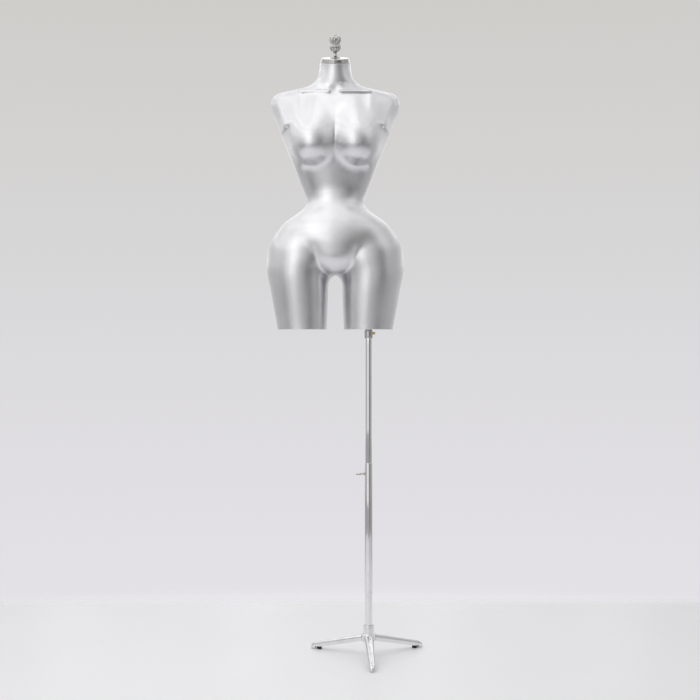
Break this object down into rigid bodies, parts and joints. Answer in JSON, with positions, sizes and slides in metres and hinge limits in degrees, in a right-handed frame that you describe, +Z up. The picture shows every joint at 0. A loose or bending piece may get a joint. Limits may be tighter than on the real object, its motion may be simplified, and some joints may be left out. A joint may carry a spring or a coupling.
{
  "type": "torso mannequin on stand",
  "caption": "Headless, armless female torso form with thigh stumps and a chrome neck cap with finial, on an offset telescoping pole with a three-legged chrome base.",
  "frame": {"origin": "on the floor, under the middle of the whole object's box", "axes": "+Z up along the pole, -Y the way the torso faces, +X towards the torso's own left, where the pole is"},
  "size_m": [0.4744, 0.3446, 1.857],
  "materials": {
    "silver_paint": "satin metallic silver paint over a moulded shell",
    "chrome": "bright chrome plate",
    "bare_steel": "zinc-plated steel",
    "brass": "turned brass",
    "black_rubber": "moulded black rubber",
    "white_nylon": "natural nylon",
    "grey_board": "board painted grey"
  },
  "bodies": {
    "base": {"base_hub": "chrome", "hub_washer": "bare_steel", "base_bolt": "bare_steel", "leg_1": "chrome", "leg_2": "chrome", "leg_3": "chrome", "leg_screw_1": "bare_steel", "leg_screw_2": "bare_steel", "leg_screw_3": "bare_steel", "foot_pad_1": "black_rubber", "foot_pad_2": "black_rubber", "foot_pad_3": "black_rubber", "foot_pad_screw_1": "bare_steel", "foot_pad_screw_2": "bare_steel", "foot_pad_screw_3": "bare_steel", "lower_tube": "chrome", "tube_slug": "bare_steel", "lock_boss": "chrome"},
    "height_lock_tip": {"height_lock_tip": "white_nylon"},
    "height_lock": {"height_lock_screw": "chrome"},
    "pole": {"upper_pole": "chrome", "pole_glide": "white_nylon", "pole_top_plug": "bare_steel"},
    "turning_washer": {"thrust_washer": "white_nylon"},
    "form": {"torso_shell": "silver_paint", "left_thigh_plate": "grey_board", "right_thigh_plate": "grey_board", "socket_flange": "bare_steel", "flange_screw_1": "bare_steel", "flange_screw_2": "bare_steel", "flange_screw_3": "bare_steel", "flange_screw_4": "bare_steel", "socket_tube": "bare_steel", "socket_collar": "chrome", "neck_plug": "grey_board", "neck_cap": "chrome", "finial_stud": "bare_steel", "stud_washer": "bare_steel", "stud_nut": "bare_steel"},
    "socket_lock_tip": {"socket_lock_tip": "white_nylon"},
    "socket_lock": {"socket_lock_screw": "brass"},
    "finial_foot": {"finial_foot": "chrome"},
    "finial": {"finial": "chrome"}
  },
  "joints": [
    {"name": "pole_height", "type": "slide", "parent": "base", "child": "pole", "axis": [0, 0, 1], "range_m": [-0.28, 0.14]},
    {"name": "torso_turn", "type": "hinge", "parent": "pole", "child": "turning_washer", "pos_m": [0.068, 0.026, 1], "axis": [0, 0, 1], "continuous": true},
    {"name": "torso_lift", "type": "slide", "parent": "turning_washer", "child": "form", "axis": [0, 0, 1], "range_m": [0, 0.14]},
    {"name": "height_lock_travel", "type": "slide", "parent": "base", "child": "height_lock_tip", "axis": [-0.9962, 0, -0.0872], "range_m": [0, 0.003]},
    {"name": "height_lock_turn", "type": "hinge", "parent": "height_lock_tip", "child": "height_lock", "pos_m": [0.068, 0.026, 0.5455], "axis": [-0.9962, 0, -0.0872], "range_deg": [0, 1080]},
    {"name": "socket_lock_travel", "type": "slide", "parent": "form", "child": "socket_lock_tip", "axis": [1, 0, 0], "range_m": [0, 0.0024]},
    {"name": "socket_lock_turn", "type": "hinge", "parent": "socket_lock_tip", "child": "socket_lock", "pos_m": [0.068, 0.026, 0.965], "axis": [1, 0, 0], "range_deg": [0, 1080]},
    {"name": "finial_turn", "type": "hinge", "parent": "form", "child": "finial_foot", "pos_m": [-0.032, 0.0197, 1.776], "axis": [0, -0.2756, 0.9613], "range_deg": [0, 5040]},
    {"name": "finial_rise", "type": "slide", "parent": "finial_foot", "child": "finial", "axis": [0, -0.2756, 0.9613], "range_m": [0, 0.014]}
  ],
  "couplings": [
    {"joint": "height_lock_turn", "follows": "height_lock_travel", "rad_per_m": 6283.2},
    {"joint": "socket_lock_turn", "follows": "socket_lock_travel", "rad_per_m": 7854},
    {"joint": "finial_turn", "follows": "finial_rise", "rad_per_m": 6283.2}
  ]
}
